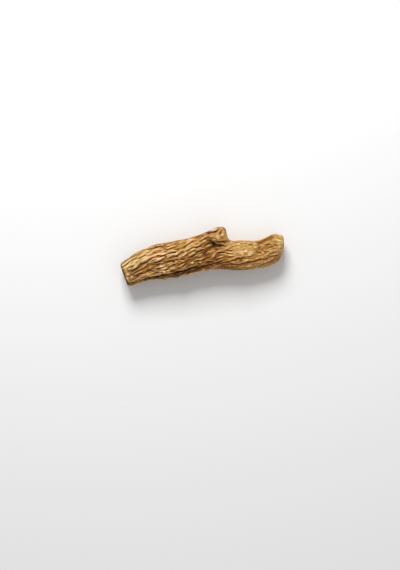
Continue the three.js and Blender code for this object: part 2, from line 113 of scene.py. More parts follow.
# Creases seen from above: depth, width, then the points they run through.
CREASES = (
    (0.9, 0.7, (-40.8, 1.7), (-39.9, 2.1), (-39, 2.6), (-38, 3.1), (-37, 3.6), (-36, 4.2),
     (-34, 4.9)),
    (0.85, 0.6, (-37, 3.7), (-36, 4.2), (-34.6, 4.8), (-33, 5.2), (-31.4, 5.6)),
    (0.35, 0.5, (-36.2, 3.4), (-35.2, 3.5), (-34.2, 3.7)),
    (0.5, 0.6, (-37.5, 0.8), (-36.6, 1.3), (-35.5, 1.6), (-33.4, 1.7)),
    (0.3, 0.5, (-33.2, 2.3), (-31.4, 3), (-29.6, 3.9), (-28, 4.2)),
    (0.55, 0.6, (-38, 0.2), (-37.2, -0.3), (-36.4, -0.5), (-35.6, -0.3)),
    (0.8, 0.6, (-36.8, -0.5), (-35.4, -0.1), (-34, 0.1), (-33, 0.4), (-32.2, 0.9), (-31.4, 1.7)),
    (1.15, 0.7, (-33, 0.5), (-32.2, 0.9), (-31.4, 1.7), (-30.4, 2.3), (-29.2, 2.7), (-28.2, 2.9),
     (-27.2, 3.1), (-26.2, 3.6), (-24.8, 4.3)),
    (0.9, 0.6, (-32, 4.6), (-31, 5), (-30.2, 5.3), (-29.2, 5.8), (-28.2, 6.3), (-27, 6.6)),
    (0.3, 0.6, (-32.2, 6.5), (-31, 7.1), (-29.8, 7.3)),
    (0.5, 0.6, (-25, 6), (-24, 6.5), (-22.8, 6.7), (-21, 6.7), (-19.4, 6.9)),
    (0.4, 0.6, (-27.6, 8.6), (-25, 8.9), (-23.2, 9)),
    (0.65, 0.6, (-22.8, 9.2), (-21.4, 9.3), (-20, 9.4), (-19, 9.7)),
    (0.5, 0.6, (-29.4, 0.3), (-28, 0.8), (-26.8, 1.3), (-25.4, 1.4), (-24.4, 1)),
    (0.25, 0.6, (-29, -0.2), (-27, -0.3), (-25, -0.2)),
    (0.65, 0.6, (-35.4, -3.3), (-33.6, -3), (-32, -2.6), (-30.8, -2.5), (-29.6, -2.9)),
    (0.75, 0.6, (-30, -3), (-28.8, -2.5), (-27.8, -1.9), (-26.6, -1.8), (-25.4, -2), (-24.4, -2.4)),
    (0.4, 0.5, (-37.4, -2.9), (-37.1, -3.9), (-37.3, -5)),
    (0.45, 0.5, (-39, -4.5), (-38.5, -5.3), (-38.1, -6)),
    (0.6, 0.7, (-36.8, -6.1), (-35.4, -6.5), (-33.8, -6.4), (-31.8, -6.3)),
    (0.25, 0.6, (-25, -2), (-24.2, -2.8), (-23, -3.4), (-21.8, -3.6)),
    (0.4, 0.6, (-21.2, -3.7), (-20, -3.6)),
    (0.4, 0.6, (-24, -2.1), (-22.8, -1.9), (-21.2, -1.6), (-19.6, -1.5), (-18.4, -1.1),
     (-17.8, -0.4)),
    (0.35, 0.6, (-19.6, -3.1), (-18.4, -2.7), (-17.2, -2.3)),
    (0.7, 0.6, (-17.4, -1.9), (-16.2, -1.5), (-15, -1), (-13.6, -0.7), (-12, -0.2)),
    (0.45, 0.5, (-23, 0.4), (-21.4, 0.5), (-19, 0.8)),
    (0.4, 0.6, (-19.4, 1.9), (-18.4, 1.1), (-17, 1.3), (-15.4, 1.3), (-13.4, 0.8)),
    (0.6, 0.6, (-24, 1.2), (-22.6, 1.6), (-21, 2.1), (-19.6, 2.7), (-18.4, 3.3), (-17, 4)),
    (0.85, 0.6, (-22.2, 5.3), (-20.6, 5.1), (-19.4, 4.6), (-18.6, 4.6), (-17.4, 5.1)),
    (1, 0.6, (-17.2, 5.1), (-16, 5.2), (-14.6, 5.5), (-13.4, 5.4), (-12, 5.1)),
    (0.5, 0.6, (-18.6, 8), (-17, 7.8), (-15.6, 7.5), (-14.4, 7.8), (-12.6, 7.9), (-11, 8.2)),
    (0.3, 0.6, (-17, 8.7), (-15, 8.6)),
    (0.7, 0.6, (-14.6, 4), (-13.4, 3.8), (-12.4, 3.3), (-11.2, 3)),
    (0.6, 0.5, (-13.6, 7), (-12, 6.8), (-10.8, 6.7), (-9.8, 6.7), (-8.6, 7)),
    (0.8, 0.6, (-8.4, 7), (-6.8, 7.7), (-5.4, 8.4), (-4.2, 9), (-3.2, 9.5), (-1.8, 9.9)),
    (0.8, 0.6, (-11.8, 4.1), (-10.4, 4.5), (-9.4, 5), (-8.6, 4.9), (-7.8, 4.5)),
    (0.45, 0.5, (-8.2, 4.8), (-7.2, 4.8), (-6.2, 4.6)),
    (1, 0.6, (-7, 5), (-5.8, 5.4), (-4.6, 5.8), (-3.8, 6.3), (-2.4, 6.5), (-1, 6.5), (0.6, 7)),
    (0.55, 0.5, (-6, 3.8), (-4.8, 4.1), (-3.8, 4.6), (-2.8, 4.9)),
    (0.35, 0.5, (-7.6, 3.7), (-5.8, 3.6)),
    (0.7, 0.6, (-6.2, 1.8), (-5, 2), (-4.2, 2.4), (-3.4, 2.9), (-2.6, 3.1)),
    (0.7, 0.6, (-2.8, 3.6), (-1.6, 4), (-0.6, 4.4), (0.4, 4.7), (1.6, 4.8)),
    (0.45, 0.5, (-2.7, 0.8), (-1.6, 0.5), (-0.6, 0.7), (0.1, 1.1), (0.4, 1.8)),
    (0.6, 0.6, (-5.8, -0.4), (-4, -0.6), (-2.6, -0.7), (-1.2, -0.9), (0, -0.6), (0.9, -0.2),
     (1.6, 0.1)),
    (0.5, 0.6, (-10.8, -0.8), (-9.4, -0.8), (-8.4, -0.5), (-7.4, 0)),
    (0.4, 0.5, (-10.4, 1.1), (-9.4, 1.2), (-8.2, 1.3)),
    (0.35, 0.5, (-14.8, 0.7), (-13.4, 0.9)),
    (0.35, 0.5, (-13.2, 1.3), (-12.2, 1.8)),
    (0.4, 0.5, (-6.2, -1.7), (-5, -2.1), (-3.8, -1.6)),
    (0.4, 0.5, (-11.6, -3.5), (-10.2, -3.3), (-9, -3)),
    (0.4, 0.5, (-2.6, -2.1), (-1.6, -2.6), (-0.4, -2.8)),
    (0.55, 0.5, (1.2, -2), (2.4, -1.9), (3.4, -1.8), (4.4, -1.9), (5.6, -2)),
    (0.65, 0.6, (-0.4, 8.9), (0.8, 9.2), (2.2, 9.7), (3.8, 10.4)),
    (0.6, 0.6, (-2.6, 10.9), (-0.8, 11.1), (0.8, 11.5), (3.2, 11.6)),
    (0.55, 0.5, (0.6, 7.1), (1.8, 7.6), (3.4, 8.1)),
    (0.75, 0.5, (0.6, 6), (2.2, 6.5), (3.4, 6.9), (4.4, 7.4)),
    (0.3, 0.5, (2.6, 5.4), (4.4, 5.8)),
    (1.2, 0.8, (4.2, 12.7), (5.4, 13), (6.6, 13), (7.8, 12.9), (8.8, 13), (9.6, 13.4), (10.2, 14)),
    (0.4, 0.7, (11.8, 13), (11.4, 12.1), (11, 11.3), (10.4, 10.4)),
    (0.35, 0.5, (10.4, 9.3), (11.8, 9.1)),
    (0.35, 0.5, (12.4, 9.3), (13.1, 10.4)),
    (0.45, 0.5, (7.8, 9.7), (8.2, 8.8), (8.7, 8.1), (9.4, 7.5), (10.6, 7.1)),
    (0.5, 0.6, (3.9, 10.2), (5, 9.9), (6, 9.8), (7, 9.3)),
    (0.4, 0.6, (3.6, 9.3), (4.8, 8.8), (5.6, 8.4), (6.4, 7.9), (7.2, 7.7)),
    (0.4, 0.6, (3.8, 7.4), (4.8, 7.1), (5.8, 7), (6.7, 6.8), (7.2, 6.2), (7.5, 5.5)),
    (0.55, 0.7, (8, 5.3), (9.6, 5.2), (10.8, 5.3), (11.6, 5), (12.4, 4.5), (13.8, 4.4)),
    (0.35, 0.6, (10.8, 6.6), (12.2, 6.9), (13.2, 7), (14.8, 6.6)),
    (0.3, 0.5, (4, 2.8), (4.6, 3.8), (5.2, 4.8)),
    (0.3, 0.5, (4, 11), (5, 11.7), (6.2, 11.9)),
    (0.7, 0.6, (5.6, -0.5), (6.2, 0), (6.8, 0.7), (7.6, 1.2), (8.8, 1.6), (10.2, 1.7), (12, 2)),
    (0.35, 0.5, (6.2, -0.3), (7.2, -0.2), (8.6, 0.1), (10.6, 0.3)),
    (0.3, 0.5, (6.6, -1.3), (7.6, -1.7)),
    (0.4, 0.5, (2.4, 0), (3.8, 0.1)),
    (0.9, 0.6, (-2.8, -3.6), (-1.4, -3.5), (0, -3.3), (1.6, -3.3), (3, -3.1), (4.8, -3.1)),
    (1.1, 0.6, (5.4, -2.7), (7, -2.8), (8, -3.1), (9, -3.3), (10.4, -3.2), (12, -3.1), (13.6, -3)),
    (1, 0.6, (12.6, -3), (14.2, -2.9), (16, -2.7), (17.6, -2.4), (18.8, -2.6), (19.8, -2.3),
     (21, -1.8)),
    (0.3, 0.5, (20.2, -3.2), (22.4, -3.2)),
    (0.35, 0.5, (22.4, -3), (23.6, -2.5), (25, -2), (26.6, -1.7)),
    (0.3, 0.5, (13.8, 5.3), (16.8, 5.3)),
    (0.35, 0.5, (12.4, 2.3), (13.6, 2.8), (15, 3.4), (16.6, 3.6)),
    (0.4, 0.5, (12.6, 0.8), (13.8, 0.5), (15, 0.4), (16.8, 0.7)),
    (0.35, 0.5, (12.4, -1.3), (14.4, -1.3), (16.8, -1.1)),
    (0.3, 0.5, (19.6, 4.4), (21.4, 4.4)),
    (0.4, 0.5, (21.6, 4.6), (23.8, 4.5)),
    (0.25, 0.6, (20.8, 1.5), (22.4, 1.7)),
    (0.3, 0.7, (22.6, 2), (23.8, 1.6), (24.8, 1.6), (26.4, 1.9)),
    (0.35, 0.6, (23.6, 3.4), (25.6, 3.3)),
    (0.4, 0.6, (21, -0.6), (22.6, -0.6)),
    (1.15, 0.6, (13, -4), (14.6, -4.5), (16.4, -4.9), (18, -5.1), (19.6, -5), (21, -4.9),
     (22.4, -5), (24.4, -4.7)),
    (0.4, 0.5, (21, -4.9), (22.4, -4.5), (23.8, -4.7)),
    (0.95, 0.6, (23.4, -4.9), (25.6, -4.7), (27.2, -4.5), (28.4, -4.2), (29.6, -4.4)),
    (0.7, 0.6, (29.4, -4.6), (31, -4.6), (32.6, -4.2)),
    (0.4, 0.6, (15, -6), (17, -6.3), (19, -5.9)),
    (0.45, 0.6, (10, -5.4), (12, -5.7), (14.6, -5.9)),
    (0.5, 0.5, (7.4, -5.4), (9.2, -5.4)),
    (0.4, 0.6, (20.4, -8), (22.6, -7.6)),
    (0.9, 0.7, (26, -8.1), (26.8, -7.9), (27.6, -7.6), (28.6, -7.2), (30, -6.7), (31.4, -6.4)),
    (0.4, 0.6, (27.6, 4.6), (29, 4.1), (30.2, 3.6), (31.4, 3.6)),
    (0.35, 0.6, (28.2, 1.2), (29.6, 1.7), (31, 1.8)),
    (0.45, 0.6, (31.2, 2.6), (32.2, 2.3), (33.6, 2.5), (34.8, 2.2), (35.6, 1.6)),
    (0.35, 0.6, (33.4, 1), (35, 0.9), (36.2, 0.6)),
    (0.25, 0.8, (36.6, 1.7), (37.6, 1.3), (38.2, 0.6), (39, 0)),
    (0.55, 0.6, (27, -0.3), (28.2, -0.8), (29.2, -1.3), (30.4, -1.6)),
    (0.55, 0.6, (30.4, -0.3), (31.4, -1.1), (32.4, -1.3), (33.6, -1)),
    (0.35, 0.6, (33.4, -2.4), (35, -2.4), (36.6, -2.1), (38.4, -1.9)),
    (0.35, 0.6, (36, -3.9), (37.2, -3.6), (38.4, -3.9)),
    (0.8, 0.7, (30.4, -6.6), (31.8, -6.4), (33, -6.2), (34.4, -5.8), (35.4, -5.6)),
    (0.4, 0.6, (34, -5.7), (35.8, -5.6)),
)

# A crack along the lower edge, cut straight down: depth, half-width, then its points.
CRACKS = (
    (1, 0.6, (-33, -6), (-30.4, -5.7), (-28.4, -5.3), (-26.4, -5.2), (-24, -5.4), (-22, -5.3),
     (-20, -5.2), (-18.4, -5.2), (-17, -4.9), (-15.4, -5.1), (-14, -4.8), (-12, -4.6),
     (-10, -4.5), (-7.8, -4.3), (-6.4, -3.8), (-4, -3.4), (-2, -3.5)),
)

# Ridges and soft hollows seen from above: height, half-width, then the points they run through.
SWELLS = (
    (-0.8, 2.4, (-33, 0.4), (-22, 0.7), (-12, 1.4), (-4, 2.6), (3, 4.6), (7, 6)),
    (0.5, 3.2, (13, 2.2), (21, 2.2), (29, 0.8)),
    (0.9, 1, (-31, -7.2), (-24, -7.2), (-16, -7.1), (-9, -6.9), (0, -6.3), (6, -5.9)),
    (0.45, 0.7, (-37.4, 2.1), (-35.5, 2.5), (-33.6, 3.1), (-31.4, 4.1), (-29.5, 4.8), (-27.6, 5.4)),
    (0.5, 0.6, (-36.4, 0.6), (-34, 0.9), (-33, 1.4), (-32, 2.2), (-30.8, 3.1), (-29, 3.7),
     (-27, 4.4), (-24.4, 5.4)),
    (0.4, 0.7, (-27, 9.2), (-25, 9.4), (-23, 9.6), (-20, 10.1)),
    (0.4, 0.6, (-23, 2.4), (-21.4, 2.8), (-20, 3.3), (-18, 4.1)),
    (0.45, 0.7, (-17, 4.4), (-15, 4.5), (-13.2, 4.3), (-11.8, 4.8), (-10.4, 5.5), (-9, 5.8),
     (-7.4, 5.7)),
    (0.35, 0.8, (-9.2, 8.6), (-7, 9.2), (-5, 9.7), (-3.4, 10.2)),
    (0.25, 0.8, (-7.2, 7), (-5.4, 7.5), (-4, 7.9), (-2.8, 8.5)),
    (0.45, 0.6, (-6.4, 2.6), (-5, 3), (-3.9, 3.5), (-3, 4)),
    (0.4, 0.5, (-3.3, 0.4), (-2.2, 0), (-1, -0.1), (0.1, 0.2), (1, 0.6)),
    (0.35, 0.6, (-2.9, 4.6), (-1.6, 5), (-0.4, 5.7), (1.2, 5.7)),
    (0.3, 0.5, (-5.2, 5.1), (-3.4, 5.5)),
    (0.4, 0.6, (5.4, 0.6), (6.6, 1.3), (7.6, 1.8), (9, 2.4), (10, 3.1)),
    (0.2, 0.8, (10.6, 3.4), (12.4, 3.4), (14, 3.9)),
    (0.25, 0.4, (5.4, 5.3), (6, 3.9), (6.6, 2.8)),
    (0.3, 0.8, (2.4, 10.9), (6, 10.9)),
    (0.3, 0.6, (-0.6, 7.8), (1.6, 8.5), (3.6, 8.9)),
    (0.3, 0.6, (10.4, 14.2), (12, 13.7), (13.6, 13)),
    (0.4, 0.7, (-31, -4.2), (-27, -4.1), (-24, -4.4), (-20.6, -4.5)),
    (0.3, 0.8, (7, -1.9), (9.4, -1.8)),
    (0.4, 0.6, (17, -6.6), (19, -6.9), (20.4, -6.6)), (0.4, 0.6, (20.8, -7.1), (22.2, -7.2),
     (23.4, -6.8)),
    (0.45, 0.5, (19.6, -4.2), (21.4, -4.1), (23, -4.1)),
    (0.35, 0.7, (12.6, -4.9), (14.4, -5.3), (16.6, -5.7)),
    (0.35, 0.8, (25, -7.2), (27.4, -6.5), (29.6, -5.9)),
    (0.4, 0.8, (31, -3.6), (32.4, -2.7), (33.6, -1.8), (35.6, -1.3)),
    (0.2, 0.6, (4, 13.4), (6, 13.7), (8, 14.1), (10.2, 14.6), (12.4, 13.9), (14, 12.8)),
)

# Small round bumps seen from above, and dents where the height is below 0: height, radius, place.
BUMPS = (
    (0.45, 0.7, -37.5, 1.6), (0.45, 0.6, -37.6, -2.5), (0.35, 0.6, -38.3, -4.2),
    (0.35, 0.5, -36.4, 0.3), (0.4, 0.6, -29, -1.7), (0.45, 0.5, -19.4, -4.1),
    (0.45, 0.5, -17.2, -3.6), (0.45, 0.8, -20.6, -0.5), (0.3, 0.6, -25.9, -0.8),
    (0.35, 0.6, -13.2, -1.3), (0.35, 0.7, -9.7, 0.2), (0.35, 0.7, -13.3, 0.2),
    (0.4, 0.5, -7.7, 4.1), (0.4, 0.5, -2.2, 9), (0.35, 0.7, -1, -1.9), (0.3, 0.6, -7.5, -2.2),
    (0.3, 0.6, -4.6, -1.3), (0.4, 0.6, 8.2, -4.3), (0.35, 0.8, 6, -4.7), (0.35, 0.9, -0.2, -5.3),
    (0.3, 0.6, 1.8, -4.3), (0.35, 1.1, 9, 10.2), (0.3, 0.7, 12.5, 11.8), (0.3, 0.6, 12.1, 10.4),
    (0.4, 0.6, -22.2, -6.2), (0.5, 0.7, -19.6, -6.8), (0.4, 0.6, -14.8, -6.4),
    (0.4, 0.8, -13.2, -6.7), (0.45, 0.6, -10.5, -6.9), (0.35, 0.7, -12, -5.5),
    (0.2, 0.8, 21.9, 0.7), (0.25, 0.7, 24.6, -1), (0.3, 0.6, 23.6, -1.6), (0.3, 0.7, 20.2, -0.6),
    (0.3, 0.8, 26.8, 3.6), (0.3, 0.7, 27.1, 1.7), (0.3, 0.7, 19.4, 4.6), (0.3, 0.9, 15.8, 6.4),
    (0.3, 0.6, 17.4, -4.2), (0.3, 0.6, 15.4, -4), (-0.4, 0.5, -20.6, -3.7),
    (-0.45, 0.6, -17.5, 3.8), (-0.4, 0.6, -13.8, 0.8), (-0.35, 0.5, -12.6, 1.5),
    (-0.4, 0.6, -9.6, 1.2), (-0.35, 0.8, 7.3, 5.9), (-0.4, 0.5, 11, 13.2), (-0.35, 0.5, 5.4, 11.9),
    (-0.4, 0.5, 1.3, -5.1), (-0.5, 0.6, 26.3, -8.3), (-0.12, 0.8, 35.2, 0.8),
    (-0.2, 0.6, 13.3, 2.5), (-0.3, 0.7, 36, 6.5),
)

# Creases of the flanks and belly, drawn in lanes by a rule.
LANES = 15
LANES_ROUND = (3.02, 6.5)  # the angles that they fill
LANE_SEED = 20471
LANE_INSET = 4
LANE_POINTS = 4
LANE_LENGTH = (7, 20)
LANE_GAP = (0.6, 3)
LANE_WANDER = 0.1
LANE_DEPTH = (0.5, 1.05)
LANE_WIDTH = 0.75

# The profile of a crease: its walls, and the lip beside the steep one.
REACH = 4  # a crease is felt no further away than this
PATH_STEP = 0.8
LIP = 0.3
LIP_PLACE = 0.95
LIP_WIDTH = 0.55
STEEP_SIDE = 0.5
CREASE_NARROW = 0.52
CREASE_DEPTH = 0.78
CREASE_SHADE = 0.3  # the dark side of a crease is this far above its bottom, for each mm of depth
CREASE_FLOOR = 0.12
CREASE_MERGE = 3  # creases that cross are hardly deeper there than one alone
TAPER = 0.4  # the power by which paths taper off to both ends
LINE_WIDTH = 0.22  # of the painted shade line along the bottom of a crease 1 mm deep
LINE_GROWTH = 0.7  # how it widens with the depth
LINE_DEPTH = 0.8  # and how it darkens
USUAL_WIDTH = 0.7
CRACK_LINE = 0.75  # the crack's painted shadow line, as a share of its width
CRACK_LIP = 0.45  # the skin stands up along the crack's upper side
CRACK_LIP_WIDTH = 1.5
CRACK_OVER = (0.3, 0.9)  # how far away the lip starts, and is full
BELLY_FADE = 1.6  # up to this height above the floor the relief fades out

# Finer than the creases. A noise has a seed, a size and a strength.
WOBBLE = (47.9, 2.6, 0.14)  # how far the creases stray from their paths
BEND = (21.4, 6, 0.5)  # the slower waves of the wrinkles
LUMPS = (80.2, 1.9, 0.12)
STUB_LUMPS = 2  # how much stronger the small lumps are on the stub
GRAIN_TWIST = ((-40, 0), (-25, 0.2), (-15, 1), (5, 5.6), (20, 9), (40, 10))
GRAIN_LAG = {"most": 1.8, "along": (-16, 5), "across": (-4, 4)}  # behind on the lower side
WRINKLES = (  # depth, length, width, seed, sharpness, how much shade is painted into its furrows
    (0.16, 13, 1.5, 5.1, 0.11, 0.05),
    (0.16, 8, 0.8, 8.8, 0.13, 0.08),
    (0.23, 5, 0.42, 12.5, 0.18, 0.15),
)
WRINKLE_MEAN = 0.15  # what the wrinkles take off the root on the whole is put back
STREAKS = ((0.16, 12, 0.8, 0), (0.2, 5, 0.4, 31.7))  # strength, length, width, seed
BUSY = (1.35, 0.6)  # how strong the wrinkles and streaks are on the left, and on the right
BUSY_FROM = (10, 20)

# How light the skin is, with shade painted into its hollows, creases and crack: 0 in the darkest
# crease, 1 on the palest rib.
USUAL_TONE = 0.6
PAINTED_CAVITY_SHADE = 0.7  # painted shade and highlight, for each mm that a place stands out from its surroundings
CAVITY_MOST = 0.4
CAVITY_WINDOW = (3, 6)  # those surroundings, in rows and steps each way
# Painted shade along the bottom of each crease.
PAINTED_CREASE_SHADE = 0.3
# Painted shadow in the crack along the lower edge.
PAINTED_CRACK_SHADOW = 0.9
CUT_RIM_SHADE = {"darker": 0.2, "rim": (0.05, 0.4), "share": (0.7, 0.9)}  # painted shade along the rim of the cut end

# Washes of colour seen from above, among them the painted shade and painted highlights marked
# below: how much paler, redder and yellower, half-width, points.
WASHES = (
    (-0.1, 0.1, 0, 2.4, (-30, 1), (-12, 1.4), (3, 3), (6, 5)),
    (0.1, 0, 0, 1.4, (-33, 2.2), (-30, 3.2), (-27, 4.6)),
    (0.1, 0.1, 0, 1.2, (-21.5, 3.4), (-20, 1.6), (-20, -0.6), (-20.6, -3)),
    (0, 0.4, -0.2, 1.7, (-26, 5.2), (-20, 5), (-14, 4.2)),
    (-0.2, -0.2, -0.6, 1.5, (4.4, 8.8), (6.8, 7.2), (8.2, 5.8), (10.6, 5.5)),
    (-0.14, -0.3, 0, 1, (6.8, 6.6), (7.8, 5.2)),
    (0.04, -0.3, 0, 3, (18, 2.6), (23, 2.4), (28, 2)),
    (0.07, 0, 0, 1.3, (27.4, 3.8), (30.6, 2.8)),
    (0.04, 0.2, 0, 1.8, (13, 3), (14, -2)),
    (0, 1, 0.3, 2.4, (3, -1.4), (12, -3.6), (22, -5), (36, -5.4)),
    (-0.04, 0.15, 0, 1.6, (-13, -0.4), (-4, -0.8), (4, -1.8)),
    (0.08, -0.2, 0, 2.4, (-38, 2.6), (-30, 5), (-22, 8)),
    (0.02, -0.1, 0, 2, (-14, 8), (-6, 8.4), (1, 9.6)),
    # Painted shade along the upper edge.
    (-0.12, 0, 0, 1.2, (-38, 5.4), (-30, 9.4), (-20, 10.8), (-8, 11.2), (2, 11.6)),
    (-0.12, 0, -0.9, 0.9, (-36, -2.6), (-34, -3)),
    (-0.12, 0.1, 0, 1.3, (-25, 3.8), (-23.4, 2), (-23, 0.4)),
    (0.08, 0.1, 0, 2, (-30, -3), (-22, -3.2), (-10, -2.4)),
    # Painted highlight on the strip above the crack.
    (0.18, 0.2, 0, 1, (-31, -4.5), (-24, -4.5), (-17, -4.3)),
    # Painted shade on the flap under the crack, which is also greyer.
    (-0.24, -0.3, -1.6, 1.1, (-31, -6.6), (-18, -6.4), (-12, -5.9)),
    # Painted shade on the lower edge below the middle, which is also greyer.
    (-0.12, 0, -1, 1.2, (-9.6, -5.6), (-3, -5)),
    # Painted highlight along the crack's upper lip.
    (0.2, 0.5, 0, 0.5, (-28, -4.4), (-22, -4.5), (-17, -4.2)),
    (0.12, 0.2, 0, 1.2, (-36.6, -4.7), (-32, -4.8)),
    (0, -0.2, -0.9, 1.4, (-24, 2.4), (-22.4, 0.8)),
    (0.1, 0.2, 0, 0.7, (-9, 9.2), (-4, 9.9)),
    (0.08, 0, 0, 0.6, (19.6, -4.1), (23, -4.1)),
    (0, 0.6, 0, 1.6, (0, -4.4), (6, -4.2), (12, -4.6)),
    (-0.04, 0.6, 0, 1.4, (3, -5.4), (12, -6.2), (20, -7)),
    (0.14, -0.2, 0, 0.8, (-38.6, 2), (-38, -3), (-38, -6)),
    # Painted shade along the upper edge near the broken end.
    (-0.3, 0.1, 0, 1.6, (29.6, 3.6), (33, 4.8), (36, 5.4)),
    (-0.06, 0.3, 0, 1.3, (29, 1), (33, 1.4), (37, 0.8)),
    (0.06, -0.4, -0.1, 2.2, (37, 5), (40, 2.4), (39.4, -2)),
    (0.1, -0.2, 0, 1.5, (41, 2), (40.4, -1), (39.6, -3)),
    (0, 0.5, 0, 1.5, (8, -5), (16, -5.6), (24, -6)),
    # Painted shade along the lower rim of the broken end.
    (-0.16, 0, 0, 0.7, (41, -1), (40, -3.6), (38.6, -5.8), (36.6, -7.4), (34, -8.3)),
    (0.1, 0, 0, 2.4, (-36, 2.6), (-28, 3), (-20, 4), (-13, 4.6)),
    (0.08, 0, 0, 1.6, (-20, 7.4), (-14, 7), (-10, 7)),
    # Painted shadow on the lower flank left of the middle.
    (-0.2, 0.3, -0.3, 1.4, (-12.4, -3.4), (-10.6, -2.8), (-8, -1.8)),
    # Painted shade on the lower flank below the middle.
    (-0.18, 0, 0, 1.6, (-3, -4.4), (4, -3.4), (8, -2.6)),
    (-0.12, 0.1, 0, 1.5, (13, -3.6), (17, -3.9), (22, -4.3)),
    (-0.24, -0.3, -0.5, 1.5, (1.4, 3), (3.4, 4.4), (5, 4.8), (7.4, 4)),
    (0.12, 0, 0, 0.7, (3.6, 5.6), (4.8, 5.2), (6.2, 4.8)),
    (-0.28, -0.4, -0.8, 0.9, (4, 13.6), (7, 13.8), (10, 14.4), (12.4, 14), (13.4, 12.8)),
    (0.14, 0.5, -0.6, 0.9, (15, -6.4), (20, -6.8), (24, -7)),
    (-0.1, 0, 0, 0.9, (-33.4, -1.6), (-29, -1.5), (-25, -1.8)),
    (-0.12, 0.2, 0, 1.6, (3, -1), (8, -1.6)),
    (-0.12, -0.2, -0.5, 1.6, (3.6, 12.2), (7, 11.6), (10.6, 11.4), (13, 12.6)),
    (-0.08, 0, 0, 1.4, (24, 4.4), (27.4, 3.6)),
    (-0.09, 0.2, 0, 1.6, (26.6, 0), (32, -0.4)),
    (0.06, 0, 0, 1.6, (-33, 4.4), (-32, 2), (-31, 0)),
    (-0.08, 0.4, 0, 0.9, (-33, -3.6), (-29, -3.7), (-25, -3.6)),
    (0.07, 0, 0, 1.2, (-23, 2.2), (-19, 2.2)),
    (0.06, 0, 0, 1.5, (-8, 1.8), (1, 2.4)),
    (0.07, 0, 0, 1.5, (7, 1.2), (10, -1.6)),
    (0.06, 0, 0, 1, (10, 8.2), (10.6, 6.4)),
    (0.06, 0, 0, 1, (-38.4, 0.4), (-37.6, -2.4)),
    (-0.05, 0, 0, 1.2, (-11, 6), (-8, 6.6), (-4.6, 7.6)),
    (-0.06, 0, 0, 1.3, (21, 4), (25.4, 2.8)),
    (0.06, 0, 0, 1.3, (19, 0), (25, -1.8)),
    (0.12, 0, 0, 1.2, (-1, 8), (2.6, 8.6)),
    # Painted shade along the upper edge at the cut end.
    (-0.1, 0, 0, 1, (-39, 4), (-34, 6.4)),
    # Painted shade along the lower edge towards the broken end.
    (-0.16, 0.1, 0, 0.9, (9, -6.6), (16, -7.8), (23, -8.8), (29, -8.7)),
)
WASH_REACH = 3  # in half-widths

# The mesh: its steps around and its rows along.
AROUND = 320
CROWD_TOP = 0.25  # radians by which the steps crowd towards the crest
ROWS = {"cut_face": 30, "cut_rim": 10, "body": 226, "broken_rim": 14, "broken_face": 22}
CROWD_STUB = {"x": 12.4, "half_width": 3, "more": 1.6}  # rows crowd at its steep side
STATIONS = 2000  # for counting the crowded rows off


def clamp(value, low=0, high=1):
    return np.minimum(high, np.maximum(low, value))


def mix(a, b, t):
    return a + (b - a) * t


def smooth(start, end, value):
    t = clamp((value - start) / (end - start))
    return t * t * (3 - 2 * t)


def bell(away):
    """1 in the middle, and less the further away."""
    return np.exp(-(away**2))


def curve_through(stations):
    """A smooth curve through stations (x, value), with the mean slope at each."""
    x, v = np.array(stations, float).T
    wide = np.pad([x, v], ((0, 0), (1, 1)), "edge")
    run, climb = wide[:, 2:] - wide[:, :-2]
    slope = climb / run

    def curve(at):
        at = clamp(np.asarray(at, float), x[0], x[-1])
        i = np.clip(np.searchsorted(x, at) - 1, 0, len(x) - 2)
        h = x[i + 1] - x[i]
        t = (at - x[i]) / h
        rise = (1 + 2 * t) * (1 - t) ** 2 * v[i] + t * t * (3 - 2 * t) * v[i + 1]
        return rise + t * (1 - t) ** 2 * h * slope[i] - t * t * (1 - t) * h * slope[i + 1]

    return curve


upper_edge = curve_through(UPPER_EDGE)
lower_edge = curve_through(LOWER_EDGE)
crest = curve_through(CREST)
belly = curve_through(BELLY)
grain_twist = curve_through(GRAIN_TWIST)


def section_at(station):
    """The oval at a station: middle, half-width, half-height, and how its plane is slanted."""
    at_cut = 1 - smooth(CUT_END, CUT_END + SLANT_REACH, station)
    at_break = smooth(BROKEN_END - SLANT_REACH, BROKEN_END, station)
    return {
        "y": (upper_edge(station) + lower_edge(station)) / 2,
        "z": (crest(station) + belly(station)) / 2,
        "half_width": (upper_edge(station) - lower_edge(station)) / 2,
        "half_height": (crest(station) - belly(station)) / 2,
        "slant": CUT_SLANT * at_cut + BROKEN_SLANT * at_break,
        "lean": CUT_LEAN * at_cut + BROKEN_LEAN * at_break,
    }


def draw_from(state):
    """Repeatable draws between 0 and 1."""
    while True:
        state = state * DRAW_FACTOR % DRAW_RANGE
        yield state / DRAW_RANGE


def flank_creases():
    """The creases of the lanes: depth, width, path of (x, angle)."""
    draw = draw_from(LANE_SEED)
    for lane in range(LANES):
        angle = mix(*LANES_ROUND, (lane + 0.5) / LANES)
        x = CUT_END + LANE_INSET * next(draw)
        while x < BROKEN_END - LANE_INSET:
            end = min(x + mix(*LANE_LENGTH, next(draw)), BROKEN_END)
            path = [
                (mix(x, end, i / (LANE_POINTS - 1)), angle + LANE_WANDER * (2 * next(draw) - 1))
                for i in range(LANE_POINTS)
            ]
            yield mix(*LANE_DEPTH, next(draw)), LANE_WIDTH, path
            x = end + mix(*LANE_GAP, next(draw))


def turn_between(a, b):
    return (a - b + math.pi) % TURN - math.pi


def run_through(points):
    """Places a PATH_STEP apart on a smooth curve through the points."""
    points = np.array(points, float)
    length = np.cumsum([0, *np.linalg.norm(np.diff(points, axis=0), axis=1)])
    at = np.linspace(0, length[-1], max(3, round(length[-1] / PATH_STEP) + 1))
    return np.stack([curve_through(list(zip(length, v)))(at) for v in points.T], -1)


def unit(vectors):
    return vectors / np.maximum(np.linalg.norm(vectors, axis=2, keepdims=True), TINY)


